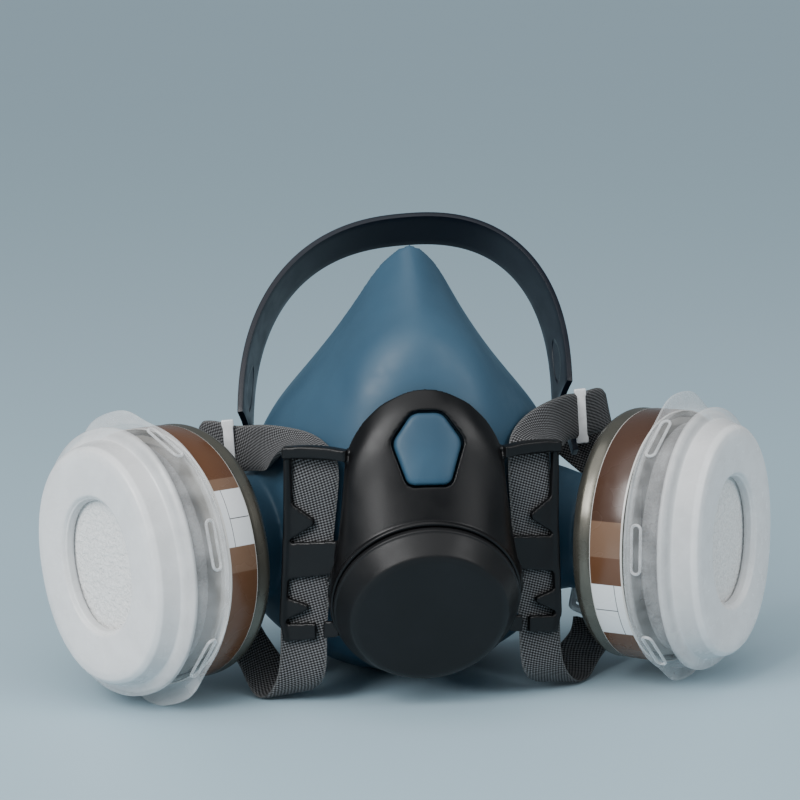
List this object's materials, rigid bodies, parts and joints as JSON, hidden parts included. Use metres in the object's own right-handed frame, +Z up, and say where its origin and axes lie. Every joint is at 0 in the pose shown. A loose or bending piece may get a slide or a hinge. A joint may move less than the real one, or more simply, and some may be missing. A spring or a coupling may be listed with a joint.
{
  "type": "half-mask respirator",
  "caption": "Reusable half-mask respirator: soft facepiece with black yoke and exhalation cover, side cartridges with filter retainers, webbing straps and head cradle.",
  "frame": {"origin": "point on the symmetry plane where the chin of the facepiece rests on the ground", "axes": "+Z up, -Y out of the front of the mask, +X to the right seen from the front"},
  "size_m": [0.2584, 0.1358, 0.1588],
  "materials": {
    "silicone": "matt, soft slate-blue silicone",
    "yoke_plastic": "satin black, fine grain",
    "valve_cover": "matt black, fine grain",
    "badge": "satin blue",
    "valve_rubber": "soft, pale",
    "port_plastic": "satin dark grey",
    "gasket": "matt black",
    "cartridge_plastic": "satin warm grey",
    "label": "printed brown and white bands, no text",
    "carbon": "packed black granules",
    "retainer_plastic": "translucent frosted plastic",
    "filter_media": "white felt",
    "cradle_plastic": "satin dark navy, bendable",
    "clear_plastic": "clear moulded plastic",
    "webbing": "dark grey woven webbing"
  },
  "bodies": {
    "mask": {"facepiece": "silicone", "yoke": "yoke_plastic", "badge": "badge", "exhalation_valve_seat": "port_plastic", "inhalation_port_left": "port_plastic", "inhalation_port_right": "port_plastic", "port_gasket_left": "gasket", "port_gasket_right": "gasket", "strap_left": "webbing", "strap_right": "webbing"},
    "exhalation_cover": {"exhalation_cover": "valve_cover"},
    "exhalation_flap": {"exhalation_flap": "valve_rubber"},
    "inhalation_flap_left": {"inhalation_flap_left": "valve_rubber"},
    "inhalation_flap_right": {"inhalation_flap_right": "valve_rubber"},
    "cartridge_left": {"cartridge_housing_left": "cartridge_plastic", "cartridge_lid_left": "cartridge_plastic", "cartridge_label_left": "label", "sorbent_bed_left": "carbon"},
    "retainer_left": {"filter_retainer_left": "retainer_plastic", "particulate_filter_left": "filter_media"},
    "cartridge_right": {"cartridge_housing_right": "cartridge_plastic", "cartridge_lid_right": "cartridge_plastic", "cartridge_label_right": "label", "sorbent_bed_right": "carbon"},
    "retainer_right": {"filter_retainer_right": "retainer_plastic", "particulate_filter_right": "filter_media"},
    "head_harness": {"head_cradle": "cradle_plastic", "strap_clip_left": "clear_plastic", "strap_clip_right": "clear_plastic", "strap_tail_left": "webbing", "strap_tail_right": "webbing"},
    "neck_buckle_left": {"neck_buckle_left": "clear_plastic"},
    "neck_buckle_right": {"neck_buckle_right": "clear_plastic"}
  },
  "joints": [
    {"name": "exhalation_cover_pull", "type": "slide", "parent": "mask", "child": "exhalation_cover", "axis": [0, -0.9114, -0.4115], "range_m": [0, 0.015]},
    {"name": "exhalation_flap_lift", "type": "slide", "parent": "mask", "child": "exhalation_flap", "axis": [0, -0.9114, -0.4115], "range_m": [0, 0.002], "stiffness_N_per_m": 60},
    {"name": "inhalation_flap_left_lift", "type": "slide", "parent": "mask", "child": "inhalation_flap_left", "axis": [0.7585, 0.6501, -0.0454], "range_m": [0, 0.002], "stiffness_N_per_m": 60},
    {"name": "inhalation_flap_right_lift", "type": "slide", "parent": "mask", "child": "inhalation_flap_right", "axis": [-0.7585, 0.6501, -0.0454], "range_m": [0, 0.002], "stiffness_N_per_m": 60},
    {"name": "cartridge_left_twist", "type": "hinge", "parent": "mask", "child": "cartridge_left", "pos_m": [-0.0883, -0.0327, 0.05265], "axis": [-0.7585, -0.6501, 0.0454], "range_deg": [0, 30]},
    {"name": "cartridge_right_twist", "type": "hinge", "parent": "mask", "child": "cartridge_right", "pos_m": [0.0883, -0.0327, 0.05265], "axis": [0.7585, -0.6501, 0.0454], "range_deg": [0, 30]},
    {"name": "retainer_left_pull", "type": "slide", "parent": "cartridge_left", "child": "retainer_left", "axis": [-0.7585, -0.6501, 0.0454], "range_m": [0, 0.018]},
    {"name": "retainer_right_pull", "type": "slide", "parent": "cartridge_right", "child": "retainer_right", "axis": [0.7585, -0.6501, 0.0454], "range_m": [0, 0.018]},
    {"name": "head_cradle_swing", "type": "hinge", "parent": "mask", "child": "head_harness", "pos_m": [0.002, 0.01, 0.0858], "axis": [0.9976, 0, 0.0698], "range_deg": [-26, 10]},
    {"name": "neck_buckle_left_swing", "type": "hinge", "parent": "mask", "child": "neck_buckle_left", "pos_m": [-0.061, -0.0122, 0.02], "axis": [-0.847, -0.5089, -0.1539], "range_deg": [-1, 8]},
    {"name": "neck_buckle_right_swing", "type": "hinge", "parent": "mask", "child": "neck_buckle_right", "pos_m": [0.067, -0.0086, 0.017], "axis": [0.9097, -0.0153, -0.4149], "range_deg": [-8, 8]}
  ]
}
